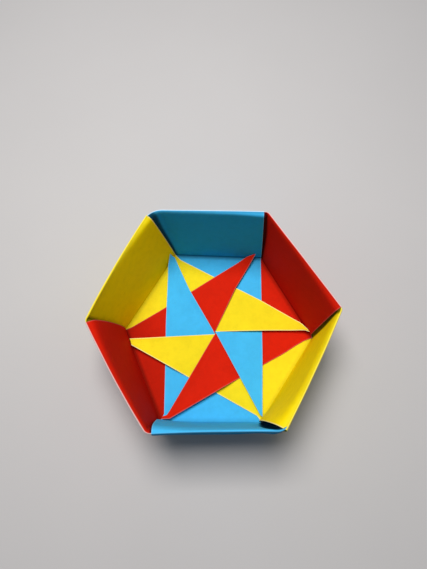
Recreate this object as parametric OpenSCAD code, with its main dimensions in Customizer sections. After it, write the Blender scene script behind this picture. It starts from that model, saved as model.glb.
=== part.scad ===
// Open hexagonal tray folded from six paper sheets, two of each colour.
// Every sheet makes one double wall with a folded rim, one floor flap and
// one tab. The flaps lie over each other in a ring, each above the next two,
// and each tab sits in the pocket inside the wall beside it.

/* [Paper] */
// Width of one sheet, also the floor's width across its flats
sheet_width = 75; // [60:1:100]
// Thickness of the paper
paper_thickness = 0.16; // [0.1:0.01:0.24]
// Air between two layers that lie on each other
layer_gap = 0.1; // [0.08:0.01:0.16]

/* [Walls] */
// Height of the folded rim above the table
wall_height = 37.6; // [28:0.2:48]
// Outward lean of the walls in degrees
lean_angle = 6; // [2:0.5:9]
// Turn of the rim against the floor in degrees
twist_angle = 4.2; // [0:0.5:6]
// Reach of the corner bend at the floor
bend_reach_floor = 0.3; // [0.2:0.05:0.5]
// Reach of the corner bend at the rim
bend_reach_rim = 1.1; // [0.5:0.1:1.2]
// Spring of a wall's free end away from the corner, at half height
end_spring = 1.2; // [0:0.1:2.5]
// Share of the wall's length over which its free end springs
end_spring_share = 0.3; // [0.2:0.05:0.5]

/* [Floor] */
// Distance that the straight sheet edge keeps from the corner
edge_setback = 0.8; // [0.6:0.1:1.2]
// Radius of the pinhole where the six points meet
centre_hole_radius = 0.4; // [0.2:0.1:1]
// Spring of the loose flap tip above the flaps under it
tip_lift = 2; // [0:0.1:3]
// Share of the flap's reach where its tip begins to spring up
tip_bend_share = 0.62; // [0.58:0.01:0.66]

/* [Detail] */
// Strips along the wall between the floor step and the corner
wall_strip_count = 7; // [5:1:10]
// Strips round the corner bend
bend_strip_count = 4; // [3:1:6]
// Strips along the tab
tab_strip_count = 5; // [4:1:8]
// Strips up one layer of the wall
layer_strip_count = 4; // [3:1:6]
// Strips over the rim fold
fold_strip_count = 4; // [4:2:8]

/* [Hidden] */
blue = [0.16, 0.62, 0.9];
red = [0.85, 0.1, 0.08];
yellow = [0.97, 0.85, 0.1];
// Turn from one corner of the hexagon to the next, in degrees
corner_turn = 60;
// Turn over which a flap steps down past the edge of the flap below
ramp_turn = 10;
ramp_strips = 4;
// Whole numbers of strips in each stretch of the sheet
wall_strips = round(wall_strip_count);
bend_strips = round(bend_strip_count);
tab_strips = round(tab_strip_count);
layer_strips = round(layer_strip_count);
fold_strips = round(fold_strip_count);
// Length of a floor side, and its distance from the middle
side = sheet_width / sqrt(3);
floor_apothem = sheet_width / 2;
// Distance from the middle of the floor to a rim corner
rim_radius = side + wall_height * tan(lean_angle) / cos(corner_turn / 2);
tab_length = sheet_width - side;
// Spacing of neighbouring layers, and half the paper's thickness
pitch = paper_thickness + layer_gap;
half = paper_thickness / 2;
// Layers inside a wall, counted from its inner face
outer_layers = 3;
fold_layers = outer_layers / 2;
// Height of the middle of the rim fold
fold_height = wall_height - fold_layers * pitch - half;
leg_x = side / 2 - edge_setback;
tip_bend_x = tip_bend_share * side;
// Directions in plan: along the neighbour's side, and square to it outwards
tab_along = [-cos(corner_turn), -sin(corner_turn)];
tab_outward = [-sin(corner_turn), cos(corner_turn)];

function mix(a, b, f) = a + (b - a) * f;
function turned(p, angle) = [
    p.x * cos(angle) - p.y * sin(angle),
    p.x * sin(angle) + p.y * cos(angle)
];
function at_height(p, z) = [p.x, p.y, z];

// Height of a flap's middle surface at an angle from its tip: three plateaus
function step(psi, from) = 1 - max(0, min(1, (psi - from) / ramp_turn));
function level(psi) = half + pitch * (
    step(psi, 0) + step(psi, corner_turn) + step(psi, 2 * corner_turn)
);

// Rise of the free tip, counted along the flap's long edge
function lift(psi, r) =
    tip_lift * pow(max(0, (r * cos(psi) - tip_bend_x) / (side - tip_bend_x)), 2);

// Corner of a layer that runs at one offset on its own side, another on the next
function corner(radius, own, next) = [
    -radius / 2 - (2 * next - own) / sqrt(3),
    radius * cos(corner_turn / 2) + own
];

// Plan of one layer at a share of the height. Place runs from 0 to 1 along the
// wall, to 2 round the corner and to 3 along the tab. Each offset is a pair,
// one for the wall and one for the tab, for the face and for the mid layer.
function plan(share, place, face, mid) =
    let(
        radius = mix(side, rim_radius, share),
        reach = mix(bend_reach_floor, bend_reach_rim, share),
        heart = corner(radius, mid[0], mid[1]),
        first = [radius / 2 - edge_setback, radius * cos(corner_turn / 2) + face[0]],
        start = [heart.x + reach, first.y],
        bend = corner(radius, face[0], face[1]),
        end = heart + reach * tab_along + (face[1] - mid[1]) * tab_outward,
        turn = min(1, max(0, place - 1)),
        flat = place <= 1
            ? mix(first, start, place)
            : place <= 2
                ? mix(mix(start, bend, turn), mix(bend, end, turn), turn)
                : end + (place - 2) * tab_length * tab_along
    )
    turned(flat, twist_angle * share);

// Offsets of one face, for wall and tab, at an angle round the rim fold
function offsets(angle, face) = [
    fold_layers * pitch - (fold_layers * pitch + face) * cos(angle),
    fold_layers * pitch - (pitch / 2 + face) * cos(angle)
];
// Inward stand-off of the inner layer near its free end
function spring(place, share) =
    4 * end_spring * share * (1 - share) * pow(max(0, 1 - place / end_spring_share), 2);
function fold_rise(angle, face, place) =
    sin(angle) * (face + pitch * mix(fold_layers, 1 / 2, min(1, max(0, place - 1))));

// Rays of the flap, first to its straight edge and then to the wall crease
ramp_angles = [for (j = [0:ramp_strips]) j * ramp_turn / ramp_strips];
leg_rays = concat(
    ramp_angles,
    [for (a = ramp_angles) a + corner_turn],
    [2 * corner_turn]
);
crease_end = corner(side, 0, pitch).x + bend_reach_floor;
ramp_x = [
    for (j = [1:ramp_strips]) floor_apothem / tan(corner_turn + ramp_angles[j])
];
crease_x = concat(
    [leg_x],
    ramp_x,
    [for (j = [1:wall_strips]) mix(ramp_x[ramp_strips - 1], crease_end, j / wall_strips)]
);
crease_rays = [for (x = crease_x) corner_turn + atan2(floor_apothem, x)];
rays = concat(leg_rays, crease_rays);

// Places of the columns along the wall, round the corner and along the tab
places = concat(
    [for (x = crease_x) (leg_x - x) / (leg_x - crease_end)],
    [for (j = [1:bend_strips]) 1 + j / bend_strips],
    [for (j = [1:tab_strips]) 2 + j / tab_strips]
);

leg_count = len(leg_rays);
ray_count = len(rays);
tip_count = ramp_strips + 1;
wall_count = len(crease_x);
column_count = len(places);
row_count = 2 * layer_strips + fold_strips + 1;
grid_start = ray_count + tip_count + leg_count;
face_count = grid_start + column_count * row_count;

function flap_point(psi, r, face) =
    [r * cos(psi - corner_turn), r * sin(psi - corner_turn), level(psi) + lift(psi, r) + face];

// One point of the wall grid: up the inner layer, over the rim, down the outer
function wall_point(column, row, face) =
    let(
        place = places[column],
        crease = column < wall_count,
        foot = crease ? level(crease_rays[column]) + face : half,
        over = row - layer_strips,
        angle = max(0, min(180, 180 * over / fold_strips)),
        down = max(0, over - fold_strips),
        share = over < 0 ? row / layer_strips : 1 - down / layer_strips,
        stand_off = over < 0 ? [spring(place, share), 0] : [0, 0],
        z = over < 0
            ? mix(foot, fold_height, share)
            : down > 0
                ? mix(layer_gap, fold_height, share)
                : fold_height + fold_rise(angle, face, place)
    )
    at_height(plan(share, place, offsets(angle, face) - stand_off, offsets(angle, 0)), z);

// All points of one face of the sheet
function face_points(face) = concat(
    [for (psi = rays) flap_point(psi, centre_hole_radius, face)],
    [for (psi = ramp_angles) flap_point(psi, tip_bend_x / cos(psi), face)],
    [for (psi = leg_rays) flap_point(psi, leg_x / cos(psi - corner_turn), face)],
    [for (c = [0:column_count - 1]) for (r = [0:row_count - 1]) wall_point(c, r, face)]
);

function tip_at(q) = ray_count + q;
function grid_at(c, r) = grid_start + c * row_count + r;
function rim_of_flap(q) =
    q < leg_count ? ray_count + tip_count + q : grid_at(q - leg_count, 0);
function quad(a, b, c, d) = [[a, b, c], [a, c, d]];

tip_quads = [
    for (q = [0:ramp_strips - 1]) each concat(
        quad(q, tip_at(q), tip_at(q + 1), q + 1),
        quad(tip_at(q), rim_of_flap(q), rim_of_flap(q + 1), tip_at(q + 1))
    )
];
blend_quads = concat(
    quad(ramp_strips, tip_at(ramp_strips), rim_of_flap(tip_count), tip_count),
    [[tip_at(ramp_strips), rim_of_flap(ramp_strips), rim_of_flap(tip_count)]]
);
flap_quads = [
    for (q = [tip_count:ray_count - 2]) each
        quad(q, rim_of_flap(q), rim_of_flap(q + 1), q + 1)
];
wall_quads = [
    for (c = [0:column_count - 2]) for (r = [0:row_count - 2]) each
        quad(grid_at(c, r), grid_at(c, r + 1), grid_at(c + 1, r + 1), grid_at(c + 1, r))
];
sheet_face = concat(tip_quads, blend_quads, flap_quads, wall_quads);

// The sheet's cut edge, once round
edge_loop = concat(
    [for (q = [0:leg_count - 1]) rim_of_flap(q)],
    [for (r = [0:row_count - 1]) grid_at(0, r)],
    [for (c = [1:column_count - 1]) grid_at(c, row_count - 1)],
    [for (r = [1:row_count - 1]) grid_at(column_count - 1, row_count - 1 - r)],
    [for (c = [column_count - 2:-1:wall_count - 1]) grid_at(c, 0)],
    [for (q = [ray_count - 1:-1:0]) q],
    [tip_at(0)]
);
edge_quads = [
    for (k = [0:len(edge_loop) - 1])
        let(a = edge_loop[k], b = edge_loop[(k + 1) % len(edge_loop)]) each
            quad(b, a, a + face_count, b + face_count)
];

// One folded sheet, turned to its own side of the hexagon
module folded_sheet(turn) {
    rotate([0, 0, -turn * corner_turn])
        polyhedron(
            points = concat(face_points(half), face_points(-half)),
            faces = concat(
                [for (f = sheet_face) [f[2], f[1], f[0]]],
                [for (f = sheet_face) [f[0] + face_count, f[1] + face_count, f[2] + face_count]],
                [for (f = edge_quads) [f[2], f[1], f[0]]]
            ),
            convexity = 12
        );
}

module blue_back_unit() {
    color(blue)
        folded_sheet(0);
}

module red_back_right_unit() {
    color(red)
        folded_sheet(1);
}

module yellow_front_right_unit() {
    color(yellow)
        folded_sheet(2);
}

module blue_front_unit() {
    color(blue)
        folded_sheet(3);
}

module red_front_left_unit() {
    color(red)
        folded_sheet(4);
}

module yellow_back_left_unit() {
    color(yellow)
        folded_sheet(5);
}

blue_back_unit();
red_back_right_unit();
yellow_front_right_unit();
blue_front_unit();
red_front_left_unit();
yellow_back_left_unit();
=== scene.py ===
"""Looks of an origami hexagonal box: six folded paper sheets, a pale table, soft light and a camera."""

import math
from typing import NamedTuple

import bmesh
import bpy
from bpy.props import FloatProperty, FloatVectorProperty, PointerProperty
from mathutils import Matrix, Vector, noise


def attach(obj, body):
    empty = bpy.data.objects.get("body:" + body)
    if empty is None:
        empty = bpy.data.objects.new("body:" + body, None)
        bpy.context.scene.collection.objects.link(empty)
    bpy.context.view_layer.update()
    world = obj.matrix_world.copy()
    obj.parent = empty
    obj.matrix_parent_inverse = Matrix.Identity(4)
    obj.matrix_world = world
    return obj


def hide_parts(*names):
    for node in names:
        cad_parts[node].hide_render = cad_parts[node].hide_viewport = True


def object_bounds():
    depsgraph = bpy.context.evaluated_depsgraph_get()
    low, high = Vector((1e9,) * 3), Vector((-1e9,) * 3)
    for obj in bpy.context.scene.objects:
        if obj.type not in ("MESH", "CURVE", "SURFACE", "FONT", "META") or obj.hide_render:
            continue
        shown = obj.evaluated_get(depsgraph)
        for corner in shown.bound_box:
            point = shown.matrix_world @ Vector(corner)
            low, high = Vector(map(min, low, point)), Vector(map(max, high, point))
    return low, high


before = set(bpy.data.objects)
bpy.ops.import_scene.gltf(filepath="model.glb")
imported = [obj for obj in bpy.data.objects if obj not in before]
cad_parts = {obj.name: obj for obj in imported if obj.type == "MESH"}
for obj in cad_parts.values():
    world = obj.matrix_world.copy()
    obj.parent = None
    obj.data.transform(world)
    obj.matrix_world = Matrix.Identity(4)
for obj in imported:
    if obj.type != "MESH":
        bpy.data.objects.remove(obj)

bl_info = {
    "name": "Origami hexagonal box",
    "version": (1, 0, 0),
    "blender": (4, 5, 0),
    "location": "3D View > Sidebar > Origami box",
    "description": "Folds the six paper sheets of a hexagonal tray and sets the table, light and camera",
    "category": "Mesh",
}

# The box of the solids, kept before anything is added.
CAD_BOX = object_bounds()
CAD_HEIGHT = CAD_BOX[1][2] - CAD_BOX[0][2]

# Named lengths are in millimetres where a comment doesn't say metres. Properties are in metres.
MM = 0.001
UP = Vector((0.0, 0.0, 1.0))
SIDES = 6

# Where the creases of the floor meet, clockwise from the back left corner.
FLOOR_CORNERS = [
    Vector((-20.0, 37.7, 0.0)),
    Vector((21.2, 36.9, 0.0)),
    Vector((44.0, -1.4, 0.0)),
    Vector((21.0, -38.2, 0.0)),
    Vector((-22.7, -39.3, 0.0)),
    Vector((-41.2, 0.6, 0.0)),
]

# Where the lines of the rim would meet if the corners were sharp.
RIM_CORNERS = [
    Vector((-26.2, 42.4, 0.0)),
    Vector((20.7, 42.3, 0.0)),
    Vector((47.7, 3.4, 0.0)),
    Vector((26.0, -40.05, 0.0)),
    Vector((-21.8, -42.2, 0.0)),
    Vector((-47.4, -3.2, 0.0)),
]

# How each sheet was folded by hand.
# node, paper: the solid that it stands for, and its colour
# bow: how far the middle of the rim stands out
# belly: how far the outer layer stands off below the rim
# gaps: how far the free end stops short of the corner, at floor and rim
# end_spring: how far the free end springs into the tray
# spring_shape: how much of that spring is lost near floor and rim
# bend: how far the round corner reaches along the rim
# bulge: how far that corner stands out halfway up
# lip: how far the rim flares out, at that corner and at the free end
# lip_height: how high that flare is
# rim_rub: how pale the fold of the rim is, from wear and a painted highlight
# painted_gap_shade: how wide the painted shade in the gap beside that corner is, at foot, halfway and rim
# crease_shade: how much shade is painted into the crease at the foot
# painted_wall_shadings: how much painted shading the wall takes, inside and outside
# foot_shade: how much shade is painted on the flap near its crease
# leg, long_edge: places that the two edges of the floor flap pass, ending at the tip
# tip_rise: how far the two corners of the blunt tip are bent up
# leg_lift, long_lift: how far the two edges curl off the flaps under them
SHEETS = [
    {
        "node": "blue_back_unit", "paper": "blue", "bow": 0.1, "belly": 0.5,
        "gaps": (-0.1, 1.2), "end_spring": 0.5, "spring_shape": 0.35,
        "bend": 4.4, "bulge": 0.8, "lip": (0.2, 1.1), "lip_height": 1.7, "rim_rub": 0.9,
        "painted_gap_shade": (1.1, 2.1, 3.2), "crease_shade": 0.75, "painted_wall_shadings": (0.7, 0.0), "foot_shade": 0.0,
        "leg": [(21.5, -10.0), (21.3, -35.9)],
        "long_edge": [(0.4, 0.1), (20.4, -35.3)],
        "tip_rise": (0.3, 0.2), "leg_lift": 0.5, "long_lift": 0.2,
    },
    {
        "node": "red_back_right_unit", "paper": "red", "bow": 0.1, "belly": 0.5,
        "gaps": (1.5, 0.4), "end_spring": 0.6, "spring_shape": 0.4,
        "bend": 0.9, "bulge": 0.5, "lip": (0.35, 1.3), "lip_height": 3.5, "rim_rub": 1.0,
        "painted_gap_shade": (1.3, 2.2, 1.6), "crease_shade": 0.5, "painted_wall_shadings": (0.6, 0.0), "foot_shade": 0.0,
        "leg": [(40.9, -2.4), (36.8, -4.8), (34.0, -6.7), (31.0, -8.7), (10.8, -20.3),
                (-18.2, -37.8), (-21.7, -38.0)],
        "long_edge": [(0.35, 0.0), (-19.5, -36.3), (-21.6, -37.0)],
        "tip_rise": (0.4, 0.3), "leg_lift": 1.7, "long_lift": 0.2,
    },
    {
        "node": "yellow_front_right_unit", "paper": "yellow", "bow": 0.5, "belly": 0.5,
        "gaps": (-0.6, 0.2), "end_spring": 3.2, "spring_shape": 0.7,
        "bend": 0.7, "bulge": 0.3, "lip": (0.6, 1.3), "lip_height": 5.0, "rim_rub": 0.3,
        "painted_gap_shade": (1.5, 2.6, 2.2), "crease_shade": 0.3, "painted_wall_shadings": (0.8, 0.5), "foot_shade": 0.0,
        "leg": [(19.2, -35.7), (-10.5, -20.5), (-37.2, -6.8)],
        "long_edge": [(0.0, -0.7), (-38.5, -3.7)],
        "tip_rise": (0.7, 0.3), "leg_lift": 1.5, "long_lift": 0.2,
    },
    {
        "node": "blue_front_unit", "paper": "blue", "bow": -0.4, "belly": 2.0,
        "gaps": (-0.8, 1.6), "end_spring": 1.6, "spring_shape": 0.25,
        "bend": 2.6, "bulge": 1.6, "lip": (0.3, 1.1), "lip_height": 7.0, "rim_rub": 0.05,
        "painted_gap_shade": (0.3, 3.6, 3.6), "crease_shade": 0.25, "painted_wall_shadings": (0.0, 1.0), "foot_shade": 0.0,
        "leg": [(-21.0, -36.3), (-21.7, -17.4), (-22.5, 3.0), (-22.95, 31.3), (-21.8, 35.9)],
        "long_edge": [(-0.35, 0.25), (-12.5, 20.1), (-20.05, 35.4)],
        "tip_rise": (4.3, 0.5), "leg_lift": 0.4, "long_lift": 0.45,
    },
    {
        "node": "red_front_left_unit", "paper": "red", "bow": 0.7, "belly": 0.5,
        "gaps": (-0.2, 0.6), "end_spring": 2.0, "spring_shape": 0.6,
        "bend": 1.2, "bulge": 0.5, "lip": (0.65, 1.5), "lip_height": 3.5, "rim_rub": 0.9,
        "painted_gap_shade": (1.4, 1.6, 0.8), "crease_shade": 0.5, "painted_wall_shadings": (0.6, 0.0), "foot_shade": 0.35,
        "leg": [(-38.4, 1.6), (-26.0, 9.55), (-11.3, 19.3), (14.0, 36.4), (17.6, 37.1)],
        "long_edge": [(0.45, 1.1), (9.2, 21.1), (18.2, 36.9)],
        "tip_rise": (3.2, 3.0), "leg_lift": 0.2, "long_lift": 0.9,
    },
    {
        "node": "yellow_back_left_unit", "paper": "yellow", "bow": 0.9, "belly": 0.5,
        "gaps": (0.1, 2.3), "end_spring": 0.4, "spring_shape": 0.35,
        "bend": 0.8, "bulge": 0.2, "lip": (-0.25, 1.35), "lip_height": 3.2, "rim_rub": 0.3,
        "painted_gap_shade": (0.6, 1.2, 1.9), "crease_shade": 0.3, "painted_wall_shadings": (1.0, 0.0), "foot_shade": 0.08,
        "leg": [(-17.5, 35.1), (21.2, 15.4), (39.1, 5.2), (41.8, 1.9)],
        "long_edge": [(0.1, 0.45), (26.4, 1.3), (40.3, 1.6), (42.4, 0.8)],
        "tip_rise": (1.8, 1.5), "leg_lift": 0.2, "long_lift": 1.2,
    },
]

# Turns round the middle of the floor, in degrees: from corner to corner, where a flap steps down past an
# edge under it, and where its own edges stop lying on top.
WHOLE_TURN = 360.0
QUARTER_TURN = 90.0
CORNER_TURN = 60.0
RAMP_TURN = 10.0
ON_TOP_TURN = 40.0
ON_TOP_FADE = 20.0
FLOOR_LEVELS = 3

# Layer steps from the inner to the outer layer of a wall, and the places of the two layers of a tab.
WALL_STEPS = 3.0
TAB_STEPS = (1.0, 2.0)

# At floor level, the round corner's reach and the free end's gap, which opens over this share of the height.
FLOOR_BEND = 0.25
FLOOR_GAP = 0.15
GAP_EASE = 0.08

# Where a free end's spring starts along the wall, the outer layer's part in it, and how high that layer ends.
SPRING_FROM = 0.6
OUTER_SPRING = -0.35
OUTER_FOOT = 0.3

# How far and how fast bulges, bellies, lips, curled edges and bent tips rise.
BULGE_REACH = 5.0
BULGE_POWER = 0.8
BELLY_POWER = 0.7
LIP_POWER = 3
CURL_POWER = 3
LONG_CURL_FROM = 0.5
LONG_CURL_FADE = 0.25
TIP_FROM = 0.88
TIP_POWER = 1.6

# Gentle waves in walls and flaps. The gains say how soon a wall's wave grows from its ends and its foot.
WAVE_HEIGHT = 0.14
FLAP_WAVE_HEIGHT = 0.07
WAVE_LENGTH = 17.0
WAVE_SHIFTS = (7.3, 3.1, 5.7)
WAVE_END_GAIN = 1.5
WAVE_FOOT_GAIN = 3.0

# Rows and columns of points, with narrow columns along the edges and close rows at foot and rim.
WALL_COLUMNS = 42
BEND_COLUMNS = 9
TAB_COLUMNS = 14
STRIP_COLUMNS = WALL_COLUMNS + BEND_COLUMNS + TAB_COLUMNS
FLAP_ROWS = 44
CREASE_ROWS = 3
WALL_ROWS = 20
RIM_ROWS = 7
CLOSE_CLIMBS = (0.0, 0.008, 0.018, 0.03, 0.043, 0.06)
EDGE_WIDTH = 0.45
WIDEST_EDGE_SHARE = 0.2

# How far marks of wear and painted highlight, painted shade and painted wall shading reach, in millimetres.
# A flap's painted shade takes every flap as equally long.
RIM_WEAR_AND_HIGHLIGHT_REACH = 0.35
SHADE_FADE = 0.7
PAINTED_WALL_SHADING_FADE = 1.0
FOOT_REACH = 24.0
FLAP_LENGTH = 60.0

# Where wear and a painted highlight begin and painted gap shade ends over the fold of the rim,
# and where a gap's painted shade fades, as shares.
RIM_WEAR_AND_HIGHLIGHT_FROM = 0.25
RIM_WEAR_AND_HIGHLIGHT_FADE = 0.4
RIM_SHADE_TO = 0.6
GAP_SHADE_FROM = 0.7
GAP_SHADE_FADE = 0.6
GAP_WIDTH_POWER = 1.5

# How much colour is rubbed off along cut edges, how much shade is painted on flaps,
# and how much on outer faces that take painted wall shading.
EDGE_RUBS = {"blue": 0.18, "red": 0.12, "yellow": 0.8}
FLAP_SHADES = {"blue": 0.0, "red": 0.0, "yellow": 0.1}
OUTER_SHADE = 0.55

# Colours that paper and table fade towards.
WHITE = (0.95, 0.94, 0.92)
BLACK = (0.0, 0.0, 0.0)

# Spots in paper and table: stretch along the axes, spots to a millimetre, and detail.
CLOUDS = ((1.0, 1.0, 1.0), 0.11, 3.0)
FLECKS = ((1.0, 1.0, 1.0), 0.35, 4.0)
FIBRES = ((1.0, 1.0, 0.35), 2.4, 4.0)
GRAIN = ((0.25, 1.0, 1.0), 5.0, 2.0)
EDGE_FIBRES = ((1.0, 1.0, 1.0), 3.0, 3.0)
TABLE_CLOUDS = ((1.0, 1.0, 1.0), 0.012, 3.0)
TABLE_TOOTH = ((1.0, 1.0, 1.0), 1.3, 4.0)
SPOT_ROUGHNESS = 0.6

# How clouds and fibres make up the dye's tone, and clouds and tooth the table's.
CLOUD_WEIGHT = 0.7
FIBRE_WEIGHT = 0.35
CLOUD_START = 0.05
TABLE_CLOUD_WEIGHT = 0.8
TABLE_TOOTH_WEIGHT = 0.2

# The start and the sway of amounts that vary with spots.
PAINTED_WALL_SHADING_SWAY = (0.85, 0.3)
FLECK_SWAY = (-0.10, 0.24)
SHADE_SWAY = (0.75, 0.3)
WEAR_AND_HIGHLIGHT_SWAY = (0.6, 0.6)
EDGE_ROUGHNESS = (0.75, 0.15)
TABLE_ROUGHNESS = (0.62, 0.12)

# The paper's roughness with what clouds, grain and rub add to it, and how fibres and grain stand up.
PAPER_ROUGHNESS = 0.62
CLOUD_ROUGHNESS = 0.12
GRAIN_ROUGHNESS = 0.08
RUB_ROUGHNESS = 0.06
FIBRE_HEIGHT = 0.6
GRAIN_HEIGHT = 0.4

# Shares of the way to black or white, but light clouds are brighter by a factor.
CLOUD_DARKENING = 0.14
CLOUD_BRIGHTENING = 1.08
# The painted shade in creases, gaps, flaps and outer faces goes this share of the way to black.
PAINTED_SHADE_DARKENING = 0.94
EDGE_DARKENING = 0.12
TABLE_DARKENING = 0.05
TABLE_BRIGHTENING = 0.03

# The bump's strength, how deep the tooth of each surface is, in metres, and how much each surface shines.
BUMP_STRENGTH = 0.5
PAPER_TOOTH_DEPTH = 0.00004
EDGE_TOOTH_DEPTH = 0.00003
TABLE_TOOTH_DEPTH = 0.00003
PAPER_SHINE = 0.03
EDGE_SHINE = 0.1
TABLE_SHINE = 0.2

# The table and the light, in metres.
TABLE_HALF = 1.5
TABLE_CELLS = 24
TABLE_DROP = 0.0002
SKY_COLOUR = (0.80, 0.91, 1.0)
WINDOW_PLACE = (-0.04, 0.115, 0.45)
WINDOW_TARGET = (-0.02, 0.0, 0.0)
WINDOW_COLOUR = (1.0, 0.985, 0.96)

# The camera, found from the places of the tray's corners in the picture.
CAMERA_PLACE = (4.973, -35.535, 193.117)
CAMERA_RIGHT = (0.99934, 0.02727, -0.02397)
CAMERA_UP = (-0.01911, 0.95641, 0.2914)
CAMERA_BACK = (0.03087, -0.29075, 0.9563)
CAMERA_LENS = 36.0
CAMERA_SENSOR = 36.0
CAMERA_NEAR = 5.0


# Settings a user would change

class TraySizes(bpy.types.PropertyGroup):
    """Sizes of the paper and its folds."""

    paper_thickness: FloatProperty(
        name="Paper thickness", description="Thickness of one layer of paper",
        default=0.00016, min=0.00005, max=0.0004, unit="LENGTH", precision=5)
    wall_layer_step: FloatProperty(
        name="Wall layer step", description="Distance between neighbouring layers of a wall",
        default=0.00022, min=0.0001, max=0.001, unit="LENGTH", precision=5)
    floor_layer_step: FloatProperty(
        name="Floor layer step", description="Distance between neighbouring flaps of the floor",
        default=0.0005, min=0.0001, max=0.001, unit="LENGTH", precision=5)
    crease_radius: FloatProperty(
        name="Crease radius", description="Radius of the crease between floor and wall",
        default=0.00035, min=0.0001, max=0.002, unit="LENGTH", precision=5)
    rim_height: FloatProperty(
        name="Rim height", description="Height of the rim above the table",
        default=CAD_HEIGHT, min=0.01, max=0.1, unit="LENGTH", precision=4)
    tab_length: FloatProperty(
        name="Tab length", description="How far a tab reaches into its neighbour's wall",
        default=0.0317, min=0.005, max=0.04, unit="LENGTH", precision=4)


class PaperColours(bpy.types.PropertyGroup):
    """Colours of the paper, with the painted shading of its standing faces and its paleness from wear and
    painted highlights.
    """

    blue: FloatVectorProperty(
        name="Blue paper", description="Colour of the blue sheets", subtype="COLOR",
        default=(0.058, 0.468, 0.853), min=0.0, max=1.0)
    red: FloatVectorProperty(
        name="Red paper", description="Colour of the red sheets", subtype="COLOR",
        default=(0.625, 0.0146, 0.0031), min=0.0, max=1.0)
    yellow: FloatVectorProperty(
        name="Yellow paper", description="Colour of the yellow sheets", subtype="COLOR",
        default=(0.95, 0.745, 0.017), min=0.0, max=1.0)
    # Painted shading: standing faces take these colours, darker and deeper for blue and red, a little
    # brighter and more orange for yellow, for the light they get.
    blue_painted_shading: FloatVectorProperty(
        name="Deep blue", description="Colour of blue sheets on standing faces", subtype="COLOR",
        default=(0.0, 0.343, 0.728), min=0.0, max=1.0)
    red_painted_shading: FloatVectorProperty(
        name="Deep red", description="Colour of red sheets on standing faces", subtype="COLOR",
        default=(0.50, 0.0083, 0.003), min=0.0, max=1.0)
    yellow_painted_shading: FloatVectorProperty(
        name="Deep yellow", description="Colour of yellow sheets on standing faces", subtype="COLOR",
        default=(1.0, 0.74, 0.0), min=0.0, max=1.0)
    blue_edge: FloatProperty(
        name="Blue cut edge", description="How pale the cut edges of the blue sheets are",
        default=0.4, min=0.0, max=1.0, subtype="FACTOR")
    red_edge: FloatProperty(
        name="Red cut edge", description="How pale the cut edges of the red sheets are",
        default=0.2, min=0.0, max=1.0, subtype="FACTOR")
    yellow_edge: FloatProperty(
        name="Yellow cut edge", description="How pale the cut edges of the yellow sheets are",
        default=0.55, min=0.0, max=1.0, subtype="FACTOR")
    # How pale rubbed folds and edges are; on the rim fold this paleness is wear and a painted highlight.
    blue_rub: FloatProperty(
        name="Blue rub", description="How pale the blue is where folds and edges are rubbed",
        default=0.85, min=0.0, max=1.0, subtype="FACTOR")
    red_rub: FloatProperty(
        name="Red rub", description="How pale the red is where folds and edges are rubbed",
        default=0.75, min=0.0, max=1.0, subtype="FACTOR")
    yellow_rub: FloatProperty(
        name="Yellow rub", description="How pale the yellow is where folds and edges are rubbed",
        default=0.5, min=0.0, max=1.0, subtype="FACTOR")


class StageLook(bpy.types.PropertyGroup):
    """Table and light."""

    table_colour: FloatVectorProperty(
        name="Table colour", description="Colour of the pale table", subtype="COLOR",
        default=(0.525, 0.505, 0.505), min=0.0, max=1.0)
    window_power: FloatProperty(
        name="Window power", description="Power of the large soft light behind the tray",
        default=2.35, min=0.0, max=100.0, unit="POWER")
    window_size: FloatProperty(
        name="Window size", description="Side of the large soft light",
        default=0.2, min=0.05, max=3.0, unit="LENGTH")
    sky_strength: FloatProperty(
        name="Sky strength", description="Strength of the even light from all around",
        default=0.19, min=0.0, max=5.0)


# Shader maths as Python

class Value:
    """One socket of a finish, so that sums of values read as Python."""

    def __init__(self, finish, socket):
        self.finish = finish
        self.socket = socket

    def math(self, operation, first, second):
        return self.finish.add("ShaderNodeMath", {"operation": operation},
                               {"Value": first, "Value_001": second}, "Value")

    def __add__(self, other):
        return self.math("ADD", self, other)

    def __radd__(self, other):
        return self.math("ADD", other, self)

    def __sub__(self, other):
        return self.math("SUBTRACT", self, other)

    def __rsub__(self, other):
        return self.math("SUBTRACT", other, self)

    def __mul__(self, other):
        return self.math("MULTIPLY", self, other)

    def __rmul__(self, other):
        return self.math("MULTIPLY", other, self)


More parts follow.
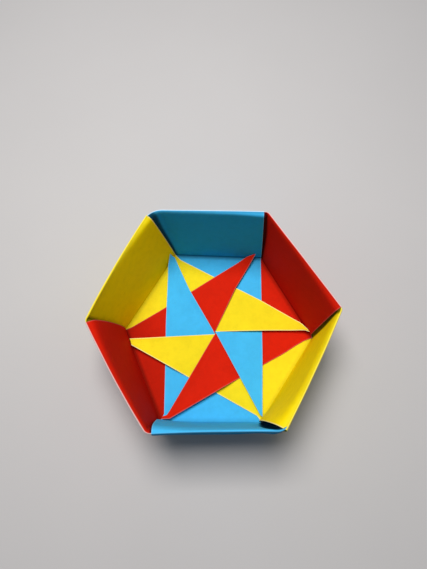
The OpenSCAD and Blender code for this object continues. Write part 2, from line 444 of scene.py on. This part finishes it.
class Finish:
    """A material and the nodes it is made of."""

    def __init__(self, name):
        self.material = bpy.data.materials.new(name)
        self.material.use_nodes = True
        self.tree = self.material.node_tree
        self.tree.nodes.clear()

    def add(self, kind, settings, sockets, output):
        """Adds one node, with its settings first and then its sockets, and gives one of its outputs."""
        node = self.tree.nodes.new(kind)
        for name, setting in settings.items():
            setattr(node, name, setting)
        for name, value in sockets.items():
            socket = next(s for s in node.inputs if s.identifier == name)
            if isinstance(value, Value):
                self.tree.links.new(value.socket, socket)
            else:
                socket.default_value = value
        if output is None:
            return None
        return Value(self, next(s for s in node.outputs if s.identifier == output))

    def mix(self, share, first, second):
        """A colour between two colours."""
        return self.add("ShaderNodeMix", {"data_type": "RGBA", "clamp_factor": True},
                        {"Factor_Float": share, "A_Color": first, "B_Color": second}, "Result_Color")

    def place(self, stretch):
        """The place on the object in millimetres, stretched along its axes."""
        here = self.add("ShaderNodeTexCoord", {}, {}, "Object")
        scale = tuple(s / MM for s in stretch)
        return self.add("ShaderNodeVectorMath", {"operation": "MULTIPLY"},
                        {"Vector": here, "Vector_001": scale}, "Vector")

    def mark(self, name):
        """A mark that the mesh carries at its points."""
        return self.add("ShaderNodeAttribute",
                        {"attribute_name": name, "attribute_type": "GEOMETRY"}, {}, "Fac")

    def speckle(self, stretch, scale, detail):
        """Soft irregular spots between 0 and 1."""
        sockets = {"Vector": self.place(stretch), "Scale": scale, "Detail": detail}
        return self.add("ShaderNodeTexNoise", {"noise_dimensions": "3D"},
                        {**sockets, "Roughness": SPOT_ROUGHNESS}, "Fac")

    def surface(self, colour, roughness, height, tooth_depth, shine):
        """Ends the finish in a shader with these inputs."""
        relief = self.add("ShaderNodeBump", {},
                          {"Strength": BUMP_STRENGTH, "Distance": tooth_depth, "Height": height}, "Normal")
        sockets = {"Base Color": colour, "Roughness": roughness, "Normal": relief}
        shader = self.add("ShaderNodeBsdfPrincipled", {},
                          {**sockets, "Specular IOR Level": shine}, "BSDF")
        self.add("ShaderNodeOutputMaterial", {}, {"Surface": shader}, None)
        return self.material


def opaque(colour):
    return (colour[0], colour[1], colour[2], 1.0)


def towards(colour, target, share):
    return tuple(c + (t - c) * share for c, t in zip(colour, target))


def swayed(start_and_sway, spots):
    """An amount that varies with spots."""
    start, sway = start_and_sway
    return start + spots * sway


def paper_face(name, colour, painted_wall_colour, whiteness):
    """Dyed paper: cloudy, fibrous, pale with wear and a painted rim highlight, with painted shade and wall
    shading.
    """
    finish = Finish(name)
    clouds = finish.speckle(*CLOUDS)
    fibres = finish.speckle(*FIBRES)
    grain = finish.speckle(*GRAIN)
    flecks = finish.speckle(*FLECKS)
    # Marks: wear and painted highlight, painted shade, and painted wall shading.
    wear_and_highlight = finish.mark("wear_and_highlight")
    shade = finish.mark("shade")
    painted_wall_shading = finish.mark("painted_wall_shading")
    dark_cloud = towards(colour, BLACK, CLOUD_DARKENING)
    light_cloud = tuple(min(c * CLOUD_BRIGHTENING, 1.0) for c in colour)
    # The colour of painted shade.
    gap = towards(colour, BLACK, PAINTED_SHADE_DARKENING)
    # The colour of wear along cut edges, and of wear and a painted highlight on the rim fold.
    pale_wear_and_highlight = towards(colour, WHITE, whiteness)
    cloudiness = clouds * CLOUD_WEIGHT + fibres * FIBRE_WEIGHT - CLOUD_START
    tone = finish.mix(cloudiness, opaque(dark_cloud), opaque(light_cloud))
    # Painted shading of standing faces, in place of the light and shade that falls on them.
    tone = finish.mix(painted_wall_shading * swayed(PAINTED_WALL_SHADING_SWAY, fibres), tone, opaque(painted_wall_colour))
    tone = finish.mix(swayed(FLECK_SWAY, flecks), tone, opaque(BLACK))
    # Painted shade in creases and gaps, near the foot of flaps, on yellow flaps and on outer faces.
    tone = finish.mix(shade * swayed(SHADE_SWAY, fibres), tone, opaque(gap))
    # Paler with wear along cut edges, and with wear and a painted highlight on the rim fold.
    tone = finish.mix(wear_and_highlight * swayed(WEAR_AND_HIGHLIGHT_SWAY, fibres), tone, opaque(pale_wear_and_highlight))
    roughness = PAPER_ROUGHNESS + clouds * CLOUD_ROUGHNESS + grain * GRAIN_ROUGHNESS + wear_and_highlight * RUB_ROUGHNESS
    height = fibres * FIBRE_HEIGHT + grain * GRAIN_HEIGHT
    return finish.surface(tone, roughness, height, PAPER_TOOTH_DEPTH, PAPER_SHINE)


def paper_edge(name, colour, whiteness):
    """The cut edge of the same paper, where its paler core shows."""
    finish = Finish(name)
    fibres = finish.speckle(*EDGE_FIBRES)
    pale = towards(colour, WHITE, whiteness)
    tone = finish.mix(fibres, opaque(towards(pale, BLACK, EDGE_DARKENING)), opaque(pale))
    return finish.surface(tone, swayed(EDGE_ROUGHNESS, fibres), fibres, EDGE_TOOTH_DEPTH, EDGE_SHINE)


def table_top(colour):
    """A pale matt table with faint cloudiness and a fine tooth."""
    finish = Finish("table_top")
    clouds = finish.speckle(*TABLE_CLOUDS)
    tooth = finish.speckle(*TABLE_TOOTH)
    dark = towards(colour, BLACK, TABLE_DARKENING)
    light = towards(colour, WHITE, TABLE_BRIGHTENING)
    cloudiness = clouds * TABLE_CLOUD_WEIGHT + tooth * TABLE_TOOTH_WEIGHT
    tone = finish.mix(cloudiness, opaque(dark), opaque(light))
    return finish.surface(tone, swayed(TABLE_ROUGHNESS, tooth), tooth, TABLE_TOOTH_DEPTH, TABLE_SHINE)


# The folds

def clamp(x):
    return min(max(x, 0.0), 1.0)


def ease(x):
    """A smooth rise from 0 to 1."""
    x = clamp(x)
    return x * x * (3.0 - 2.0 * x)


def hump(x):
    """1 halfway between 0 and 1, and 0 at both."""
    return 4.0 * x * (1.0 - x)


def fade(distance, reach):
    """1 at no distance, and next to nothing at twice the reach."""
    return math.exp(-(distance / reach) ** 2)


def bezier(start, middle, end, t):
    return start.lerp(middle, t).lerp(middle.lerp(end, t), t)


def along_path(points, share):
    """The place at a share of the length of a path."""
    lengths = [(b - a).length for a, b in zip(points, points[1:])]
    left = share * sum(lengths)
    for a, b, length in zip(points, points[1:], lengths):
        if left <= length:
            return a.lerp(b, left / length)
        left -= length
    return points[-1].copy()


def across_share(column, width):
    """The share of a width at a column, with a narrow column along each edge."""
    edge = min(EDGE_WIDTH / max(width, EDGE_WIDTH), WIDEST_EDGE_SHARE)
    if column in (0, WALL_COLUMNS - 1):
        return float(column > 0)
    return edge + (1.0 - 2.0 * edge) * (column - 1) / (WALL_COLUMNS - 3)


def wall_climbs():
    """The shares of a wall's height where its rows lie, from foot to rim."""
    near = CLOSE_CLIMBS[-1]
    between = [near + (1.0 - 2.0 * near) * k / WALL_ROWS for k in range(1, WALL_ROWS)]
    return [*CLOSE_CLIMBS, *between, *(1.0 - climb for climb in reversed(CLOSE_CLIMBS))]


def floor_level(turn):
    """How many flaps lie under a flap, at a turn in degrees from the direction of its tip."""
    return sum(1.0 - clamp((turn - k * CORNER_TURN) / RAMP_TURN) for k in range(FLOOR_LEVELS))


def ripple(place, seed):
    """A gentle wave between about -1 and 1."""
    return noise.noise(place / WAVE_LENGTH + Vector([seed * shift for shift in WAVE_SHIFTS]))


def free_end_gap(index, climb):
    """How far the free end of a sheet stops short of the corner."""
    foot, rim = SHEETS[index]["gaps"]
    return FLOOR_GAP + (foot + (rim - foot) * climb - FLOOR_GAP) * ease(climb / GAP_EASE)


def bend_reach(index, climb):
    """How far the round corner of a sheet reaches along its wall."""
    return FLOOR_BEND + (SHEETS[index]["bend"] - FLOOR_BEND) * climb


class Wall:
    """One leaning side of the tray, between two corners, and the layers beside its inner face."""

    def __init__(self, index, top):
        after = (index + 1) % SIDES
        self.index = index
        self.top = top
        self.bow = SHEETS[index]["bow"]
        self.lips = SHEETS[index]["lip"]
        self.lip_height = SHEETS[index]["lip_height"]
        self.spring_shape = SHEETS[index]["spring_shape"]
        self.floor = (FLOOR_CORNERS[index], FLOOR_CORNERS[after])
        self.rim = (RIM_CORNERS[index], RIM_CORNERS[after])
        along = self.floor[1] - self.floor[0] + self.rim[1] - self.rim[0]
        rise = self.rim[0] - self.floor[0] + self.rim[1] - self.floor[1] + 2.0 * top * UP
        self.out = rise.cross(along).normalized()
        self.length = along.length / 2.0

    def place(self, share, climb, out, lift):
        """A place at a share of the length and of the height, out from the inner face and lifted."""
        foot = self.floor[0].lerp(self.floor[1], share)
        head = self.rim[0].lerp(self.rim[1], share)
        here = foot.lerp(head, climb) + (climb * self.top + lift) * UP
        middle = hump(share)
        wave = WAVE_HEIGHT * ripple(here, self.index + 1)
        wave = wave * min(middle * WAVE_END_GAIN, 1.0) * ease(climb * WAVE_FOOT_GAIN)
        return here + self.out * (out + self.bow * middle * climb ** 2 + wave + self.lip(share, climb))

    def lip(self, share, climb):
        """How far a place is out of the plain lean: the wall leans in a little and flares back to the rim."""
        flare = self.lips[0] + (self.lips[1] - self.lips[0]) * clamp(share) ** 2
        near_rim = clamp(1.0 - (1.0 - climb) * self.top / self.lip_height)
        return flare * (near_rim ** LIP_POWER - climb)

    def end_spring(self, share, climb, reach):
        """How far the free end of the inner layer springs into the tray."""
        end = clamp((share - SPRING_FROM) / (1.0 - SPRING_FROM))
        return reach * end ** 2 * hump(climb) ** self.spring_shape


class Layer(NamedTuple):
    """Where one layer of a strip lies. Pairs are for the sheet's own wall and for its tab.

    springy says how much the layer takes part in the spring of the free end. loose is 1 for the outer layer,
    which bellies out and doesn't flare with the lip.
    """

    outs: tuple
    lifts: tuple
    springy: float
    loose: float


class FoldedSheet:
    """A folded sheet's middle surface: rows of points, marked with wear and painted highlight, painted shade
    and shading.
    """

    def __init__(self, index, sizes):
        self.index = index
        self.hand = SHEETS[index]
        self.edge_rub = EDGE_RUBS[self.hand["paper"]]
        self.half = sizes.paper_thickness / MM / 2.0
        self.step = sizes.wall_layer_step / MM
        self.floor_step = sizes.floor_layer_step / MM
        self.crease = sizes.crease_radius / MM
        self.tab = sizes.tab_length / MM
        self.arc = WALL_STEPS / 2.0 * self.step
        self.top = sizes.rim_height / MM - self.arc - self.half
        self.wall = Wall(index, self.top)
        self.before = Wall((index - 1) % SIDES, self.top)
        self.rows = []
        self.marks = []

    def fold(self):
        """Fills rows and marks, from the tip of the flap to the free edge of the outer layer."""
        feet = self.fold_flap()
        base = [(p.z + self.crease) / self.top for p in feet]
        base += [base[-1]] * (STRIP_COLUMNS - WALL_COLUMNS)
        inner = Layer((0.0, TAB_STEPS[0] * self.step), (0.0, 0.0), 1.0, 0.0)
        outer = Layer((WALL_STEPS * self.step, TAB_STEPS[1] * self.step), (0.0, 0.0), OUTER_SPRING, 1.0)
        self.fold_crease(feet, self.strip_row(base, inner))
        self.fold_inner_layer(base, inner)
        self.fold_rim()
        self.fold_outer_layer(outer)

    def add_row(self, row, wear_and_highlights, shades, painted_wall_shading):
        self.rows.append(row)
        self.marks.append([(wear_and_highlight, shade, painted_wall_shading) for wear_and_highlight, shade in zip(wear_and_highlights, shades)])

    def fold_flap(self):
        """Adds rows from the tip of the flap to the crease, and gives the last of them."""
        leg, long_edge = self.flap_paths()
        wear_and_highlights = [self.edge_rub] + [0.0] * (WALL_COLUMNS - 2) + [self.edge_rub]
        for k in range(FLAP_ROWS):
            reach = 1.0 - k / (FLAP_ROWS - 1)
            start = along_path(leg, reach)
            end = along_path(long_edge, reach)
            row = []
            for column in range(WALL_COLUMNS):
                across = across_share(column, (end - start).length)
                here = start.lerp(end, across)
                here.z = self.flap_height(here, across, reach)
                row.append(here)
            self.add_row(row, wear_and_highlights, [self.flap_shade(reach * FLAP_LENGTH)] * WALL_COLUMNS, 0.0)
        return row

    def flap_paths(self):
        """The two edges of the floor flap, from the crease to the blunt tip."""
        inward = self.wall.out.copy()
        inward.z = 0.0
        inward = -inward.normalized() * self.crease
        foot = self.wall.floor
        leg_start = foot[0].lerp(foot[1], self.wall_share(0, 0.0)) + inward
        long_start = foot[0].lerp(foot[1], self.wall_share(WALL_COLUMNS - 1, 0.0)) + inward
        leg = [leg_start] + [Vector((x, y, 0.0)) for x, y in self.hand["leg"]]
        long_edge = [long_start] + [Vector((x, y, 0.0)) for x, y in self.hand["long_edge"]]
        return leg, long_edge

    def flap_height(self, here, across, reach):
        """Height of the flap's middle surface: the layers under it, its curled edges and its bent tip."""
        turn = math.degrees(math.atan2(here.y, here.x)) + CORNER_TURN * (1 + self.index)
        turn = (turn + QUARTER_TURN) % WHOLE_TURN - QUARTER_TURN
        on_top = 1.0 - ease((turn - ON_TOP_TURN) / ON_TOP_FADE)
        leg = self.hand["leg_lift"] * (1.0 - across) ** CURL_POWER
        long_edge = self.hand["long_lift"] * across ** CURL_POWER
        long_edge = long_edge * ease((reach - LONG_CURL_FROM) / LONG_CURL_FADE)
        rise = self.hand["tip_rise"]
        tip = clamp((reach - TIP_FROM) / (1.0 - TIP_FROM)) ** TIP_POWER
        tip = (rise[0] + (rise[1] - rise[0]) * across) * tip
        wave = max(FLAP_WAVE_HEIGHT * ripple(here, 0), 0.0)
        return self.half + self.floor_step * floor_level(turn) + on_top * (leg + long_edge) + tip + wave

    def flap_shade(self, distance):
        """How much shade is painted on the flap, at a distance from its crease."""
        foot = self.hand["foot_shade"] * (1.0 - ease(distance / FOOT_REACH))
        return max(self.crease_shade(distance) + foot, FLAP_SHADES[self.hand["paper"]])

    def crease_shade(self, distance):
        """How much shade is painted on the paper near the crease, at a distance from it."""
        return self.hand["crease_shade"] * fade(distance, SHADE_FADE)

    def fold_crease(self, feet, first):
        """Adds rows round the crease, from the foot of the flap to the first row of the wall."""
        # Painted shade in the crease, and painted wall shading.
        shades = [self.hand["crease_shade"]] * WALL_COLUMNS
        for k in range(1, CREASE_ROWS + 1):
            row = []
            for column in range(WALL_COLUMNS):
                middle = self.wall.place(self.wall_share(column, 0.0), 0.0, 0.0, feet[column].z)
                row.append(bezier(feet[column], middle, first[column], k / (CREASE_ROWS + 1)))
            self.add_row(row, [0.0] * WALL_COLUMNS, shades, self.hand["painted_wall_shadings"][0])

    def fold_inner_layer(self, base, layer):
        """Adds rows up the inner layer of the wall and its tab."""
        for climb in wall_climbs():
            row = self.strip_row([b + (1.0 - b) * climb for b in base], layer)
            # Painted shade in the crease and in the gap beside the neighbour's free end.
            crease = self.crease_shade(climb * self.top)
            shades = [max(crease, gap) for gap in self.gap_shades(climb, 1.0)]
            # Painted wall shading, faded out just under the rim.
            painted_wall_shading = self.hand["painted_wall_shadings"][0] * (1.0 - fade((1.0 - climb) * self.top, PAINTED_WALL_SHADING_FADE))
            self.add_row(row, self.strip_wear_and_highlights(climb, 0.0), shades, painted_wall_shading)

    def fold_rim(self):
        """Adds rows over the fold of the rim."""
        for k in range(1, RIM_ROWS + 1):
            over = k / (RIM_ROWS + 1)
            rise = math.sin(math.pi * over)
            outs = (WALL_STEPS * self.step * over, self.step * (TAB_STEPS[0] + over))
            lifts = (self.arc * rise, self.step / 2.0 * rise)
            row = self.strip_row([1.0] * STRIP_COLUMNS, Layer(outs, lifts, 0.0, 0.0))
            # The rim fold is paler from wear and a painted highlight, and its inner part takes painted gap
            # shade.
            wear_and_highlight = self.hand["rim_rub"] * ease((over - RIM_WEAR_AND_HIGHLIGHT_FROM) / RIM_WEAR_AND_HIGHLIGHT_FADE)
            shades = self.gap_shades(1.0, clamp(RIM_SHADE_TO - over))
            self.add_row(row, [wear_and_highlight] * STRIP_COLUMNS, shades, 0.0)

    def fold_outer_layer(self, layer):
        """Adds rows down the outer layer of the wall and its tab."""
        foot = OUTER_FOOT / self.top
        # The outer layer takes painted shade and painted wall shading by its sheet's outer amount.
        painted_wall_shading = self.hand["painted_wall_shadings"][1]
        for climb in reversed(wall_climbs()):
            row = self.strip_row([foot + (1.0 - foot) * climb] * STRIP_COLUMNS, layer)
            # Near the rim the outer layer is paler from wear and a painted highlight.
            wear_and_highlights = self.strip_wear_and_highlights(climb, self.hand["rim_rub"])
            self.add_row(row, wear_and_highlights, [OUTER_SHADE * painted_wall_shading] * STRIP_COLUMNS, painted_wall_shading)

    def strip_row(self, climbs, layer):
        """One row of a layer across wall, bend and tab."""
        row = [self.wall_point(column, climbs[column], layer) for column in range(WALL_COLUMNS)]
        climb = climbs[-1]
        bend = bend_reach(self.index, climb)
        first_share = 1.0 - bend / self.before.length
        last_share = first_share - (self.tab - 2.0 * bend) / self.before.length
        start = row[-1]
        corner = self.sharp_corner(climb, layer)
        end = self.tab_point(first_share, climb, layer)
        for k in range(1, BEND_COLUMNS + 1):
            row.append(bezier(start, corner, end, k / BEND_COLUMNS))
        for k in range(1, TAB_COLUMNS + 1):
            share = first_share + (last_share - first_share) * k / TAB_COLUMNS
            row.append(self.tab_point(share, climb, layer))
        return row

    def wall_share(self, column, climb):
        """The share of the wall's length at a column, from the free end to the start of the bend."""
        gap = free_end_gap(self.index, climb)
        bend = bend_reach(self.index, climb)
        across = across_share(column, self.wall.length)
        return (1.0 - gap / self.wall.length) * (1.0 - across) + bend / self.wall.length * across

    def wall_point(self, column, climb, layer):
        """A point of a layer on the sheet's own wall."""
        share = self.wall_share(column, climb)
        from_corner = share * self.wall.length
        after = (self.index + 1) % SIDES
        out = layer.outs[0] - layer.springy * self.wall.end_spring(share, climb, self.hand["end_spring"])
        out += self.bulge(self.index, climb, from_corner)
        out += layer.loose * self.bulge(after, climb, self.wall.length - from_corner)
        out += layer.loose * self.belly(share, climb)
        out -= layer.loose * self.wall.lip(share, climb)
        return self.wall.place(share, climb, out, layer.lifts[0])

    def tab_point(self, share, climb, layer):
        """A point of a layer on the tab, beside the wall of the sheet before."""
        out = layer.outs[1] + self.bulge(self.index, climb, (1.0 - share) * self.before.length)
        out -= layer.loose * self.before.lip(share, climb)
        return self.before.place(share, climb, out, layer.lifts[1])

    def sharp_corner(self, climb, layer):
        """Where the wall's and the tab's layer would meet if the bend between them were sharp."""
        lips = (self.wall.lip(0.0, climb), self.before.lip(1.0, climb))
        bulge = self.bulge(self.index, climb, 0.0)
        outs = [out + (bulge + (1.0 - layer.loose) * lip) for out, lip in zip(layer.outs, lips)]
        corner = FLOOR_CORNERS[self.index].lerp(RIM_CORNERS[self.index], climb)
        corner = corner + (climb * self.top + sum(layer.lifts) / 2.0) * UP
        a = self.wall.out
        b = self.before.out
        scale = a.x * b.y - a.y * b.x
        shift_x = (outs[0] * b.y - outs[1] * a.y) / scale
        shift_y = (outs[1] * a.x - outs[0] * b.x) / scale
        return corner + Vector((shift_x, shift_y, 0.0))

    def bulge(self, index, climb, distance):
        """How far the loose bend of a sheet pushes the layers out, at a distance from its corner."""
        return SHEETS[index]["bulge"] * hump(climb) ** BULGE_POWER * fade(distance, BULGE_REACH)

    def belly(self, share, climb):
        """How far the outer layer stands off between rim, foot and corners."""
        return self.hand["belly"] * (hump(climb) * max(hump(share), 0.0)) ** BELLY_POWER

    def strip_wear_and_highlights(self, climb, strength):
        """Marks across a strip row: wear and a painted highlight along the rim, and rub along the free end.
        """
        rim = strength * fade((1.0 - climb) * self.top, RIM_WEAR_AND_HIGHLIGHT_REACH)
        return [max(self.edge_rub, rim)] + [rim] * (STRIP_COLUMNS - 1)

    def gap_shades(self, climb, strength):
        """Painted shade marks across a strip row: painted shade in the gap beside the neighbour's free end.
        """
        gap = free_end_gap((self.index - 1) % SIDES, climb)
        bend = bend_reach(self.index, climb)
        foot, halfway, rim = self.hand["painted_gap_shade"]
        nearer = foot if climb < 0.5 else rim
        width = halfway + (nearer - halfway) * abs(2.0 * climb - 1.0) ** GAP_WIDTH_POWER
        lengths = [gap + self.wall_share(column, climb) * self.wall.length for column in range(WALL_COLUMNS)]
        lengths += [gap + bend - 2.0 * bend * k / BEND_COLUMNS for k in range(1, BEND_COLUMNS + 1)]
        fades = [ease((length / width - GAP_SHADE_FROM) / GAP_SHADE_FADE) for length in lengths]
        return [strength * (1.0 - fading) for fading in fades] + [strength] * TAB_COLUMNS


# The meshes

def grid_quads(rows):
    """Quads between neighbouring rows, as numbers of points, where the narrower row sets the width."""
    grid = []
    count = 0
    for row in rows:
        grid.append(range(count, count + len(row)))
        count += len(row)
    quads = []
    for lower, upper in zip(grid, grid[1:]):
        for k in range(min(len(lower), len(upper)) - 1):
            quads.append((lower[k], lower[k + 1], upper[k + 1], upper[k]))
    return quads


def point_normals(places, quads):
    """The direction that the surface faces at each point."""
    normals = [Vector() for _ in places]
    for a, b, c, d in quads:
        turn = (places[c] - places[a]).cross(places[d] - places[b])
        for k in (a, b, c, d):
            normals[k] += turn
    return [normal.normalized() for normal in normals]


def open_sides(quads):
    """The sides that only one quad has."""
    sides = dict.fromkeys(side for quad in quads for side in zip(quad, quad[1:] + quad[:1]))
    return [(a, b) for a, b in sides if (b, a) not in sides]


def paper_mesh(name, sheet, thickness):
    """Gives the middle surface its thickness and closes it all round with cut edges."""
    places = [place * MM for row in sheet.rows for place in row]
    marks = [mark for row in sheet.marks for mark in row]
    quads = grid_quads(sheet.rows)
    normals = point_normals(places, quads)
    made = bmesh.new()
    # Marks of wear and painted highlight, painted shade and painted wall shading.
    layers = [made.verts.layers.float.new(mark) for mark in ("wear_and_highlight", "shade", "painted_wall_shading")]
    faces = []
    for push in (thickness / 2.0, -thickness / 2.0):
        face = []
        for place, normal, mark in zip(places, normals, marks):
            vert = made.verts.new(place + normal * push)
            for layer, amount in zip(layers, mark):
                vert[layer] = amount
            face.append(vert)
        faces.append(face)
    front, back = faces
    for quad in quads:
        made.faces.new([front[k] for k in quad]).smooth = True
        made.faces.new([back[k] for k in reversed(quad)]).smooth = True
    for a, b in open_sides(quads):
        edge = made.faces.new((front[b], front[a], back[a], back[b]))
        edge.material_index = 1
        for side in edge.edges:
            side.smooth = False
    mesh = bpy.data.meshes.new(name)
    made.to_mesh(mesh)
    made.free()
    return mesh


def fold_sheets(context, paper):
    """Folds both sheets of one colour and puts them in place of their solids."""
    sizes = context.scene.tray_sizes
    look = context.scene.paper_colours
    colour = tuple(getattr(look, paper))
    painted_wall_colour = tuple(getattr(look, paper + "_painted_shading"))
    face = paper_face(paper + "_paper_face", colour, painted_wall_colour, getattr(look, paper + "_rub"))
    edge = paper_edge(paper + "_paper_cut_edge", colour, getattr(look, paper + "_edge"))
    for index, hand in enumerate(SHEETS):
        if hand["paper"] != paper:
            continue
        sheet = FoldedSheet(index, sizes)
        sheet.fold()
        name = hand["node"].replace("_unit", "_sheet")
        piece = bpy.data.objects.new(name, paper_mesh(name, sheet, sizes.paper_thickness))
        context.scene.collection.objects.link(piece)
        piece.data.materials.append(face)
        piece.data.materials.append(edge)
        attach(piece, "root")
        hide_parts(hand["node"])


# Operators

class TRAY_OT_fold_blue_sheets(bpy.types.Operator):
    """Fold the two blue sheets, at the back and the front"""

    bl_idname = "tray.fold_blue_sheets"
    bl_label = "Fold blue sheets"

    def execute(self, context):
        fold_sheets(context, "blue")
        return {"FINISHED"}


class TRAY_OT_fold_red_sheets(bpy.types.Operator):
    """Fold the two red sheets, at the back right and the front left"""

    bl_idname = "tray.fold_red_sheets"
    bl_label = "Fold red sheets"

    def execute(self, context):
        fold_sheets(context, "red")
        return {"FINISHED"}


class TRAY_OT_fold_yellow_sheets(bpy.types.Operator):
    """Fold the two yellow sheets, at the front right and the back left"""

    bl_idname = "tray.fold_yellow_sheets"
    bl_label = "Fold yellow sheets"

    def execute(self, context):
        fold_sheets(context, "yellow")
        return {"FINISHED"}


class TRAY_OT_set_stage(bpy.types.Operator):
    """Set the table, the soft light and the camera"""

    bl_idname = "tray.set_stage"
    bl_label = "Set table, light and camera"

    def execute(self, context):
        look = context.scene.stage_look
        self.set_table(context, look)
        self.set_sky(context, look)
        self.set_window(context, look)
        self.set_camera(context)
        return {"FINISHED"}

    def set_table(self, context, look):
        made = bmesh.new()
        bmesh.ops.create_grid(made, x_segments=TABLE_CELLS, y_segments=TABLE_CELLS, size=TABLE_HALF)
        mesh = bpy.data.meshes.new("table")
        made.to_mesh(mesh)
        made.free()
        table = bpy.data.objects.new("table", mesh)
        table.location.z = -TABLE_DROP
        table.data.materials.append(table_top(tuple(look.table_colour)))
        context.scene.collection.objects.link(table)

    def set_sky(self, context, look):
        world = bpy.data.worlds.new("studio")
        world.use_nodes = True
        sky = world.node_tree.nodes["Background"]
        sky.inputs["Color"].default_value = opaque(SKY_COLOUR)
        sky.inputs["Strength"].default_value = look.sky_strength
        context.scene.world = world

    def set_window(self, context, look):
        lamp = bpy.data.lights.new("window", "AREA")
        lamp.shape = "SQUARE"
        lamp.size = look.window_size
        lamp.energy = look.window_power
        lamp.color = WINDOW_COLOUR
        window = bpy.data.objects.new("window", lamp)
        window.location = WINDOW_PLACE
        aim = Vector(WINDOW_TARGET) - Vector(WINDOW_PLACE)
        window.rotation_euler = aim.to_track_quat("-Z", "Y").to_euler()
        window.visible_camera = False
        context.scene.collection.objects.link(window)

    def set_camera(self, context):
        eye = bpy.data.cameras.new("camera")
        eye.sensor_fit = "HORIZONTAL"
        eye.sensor_width = CAMERA_SENSOR
        eye.lens = CAMERA_LENS
        eye.clip_start = CAMERA_NEAR * MM
        camera = bpy.data.objects.new("camera", eye)
        axes = Matrix((CAMERA_RIGHT, CAMERA_UP, CAMERA_BACK)).transposed().to_4x4()
        camera.matrix_world = Matrix.Translation(Vector(CAMERA_PLACE) * MM) @ axes
        context.scene.collection.objects.link(camera)
        context.scene.camera = camera
        context.scene.view_settings.view_transform = "Standard"


class TRAY_PT_panel(bpy.types.Panel):
    """Sizes, colours and steps of the origami box"""

    bl_idname = "TRAY_PT_panel"
    bl_label = "Origami hexagonal box"
    bl_space_type = "VIEW_3D"
    bl_region_type = "UI"
    bl_category = "Origami box"

    def draw(self, context):
        for group in (context.scene.tray_sizes, context.scene.paper_colours, context.scene.stage_look):
            box = self.layout.box()
            for name in group.bl_rna.properties.keys():
                if name not in ("rna_type", "name"):
                    box.prop(group, name)
        for step in STEPS:
            self.layout.operator(step.bl_idname)


STEPS = (TRAY_OT_set_stage, TRAY_OT_fold_blue_sheets, TRAY_OT_fold_red_sheets, TRAY_OT_fold_yellow_sheets)
CLASSES = (TraySizes, PaperColours, StageLook) + STEPS + (TRAY_PT_panel,)


def register():
    for kind in CLASSES:
        bpy.utils.register_class(kind)
    bpy.types.Scene.tray_sizes = PointerProperty(type=TraySizes)
    bpy.types.Scene.paper_colours = PointerProperty(type=PaperColours)
    bpy.types.Scene.stage_look = PointerProperty(type=StageLook)


def unregister():
    del bpy.types.Scene.stage_look
    del bpy.types.Scene.paper_colours
    del bpy.types.Scene.tray_sizes
    for kind in reversed(CLASSES):
        bpy.utils.unregister_class(kind)


def main():
    register()
    bpy.ops.tray.set_stage()
    bpy.ops.tray.fold_blue_sheets()
    bpy.ops.tray.fold_red_sheets()
    bpy.ops.tray.fold_yellow_sheets()


if __name__ == "__main__":
    main()
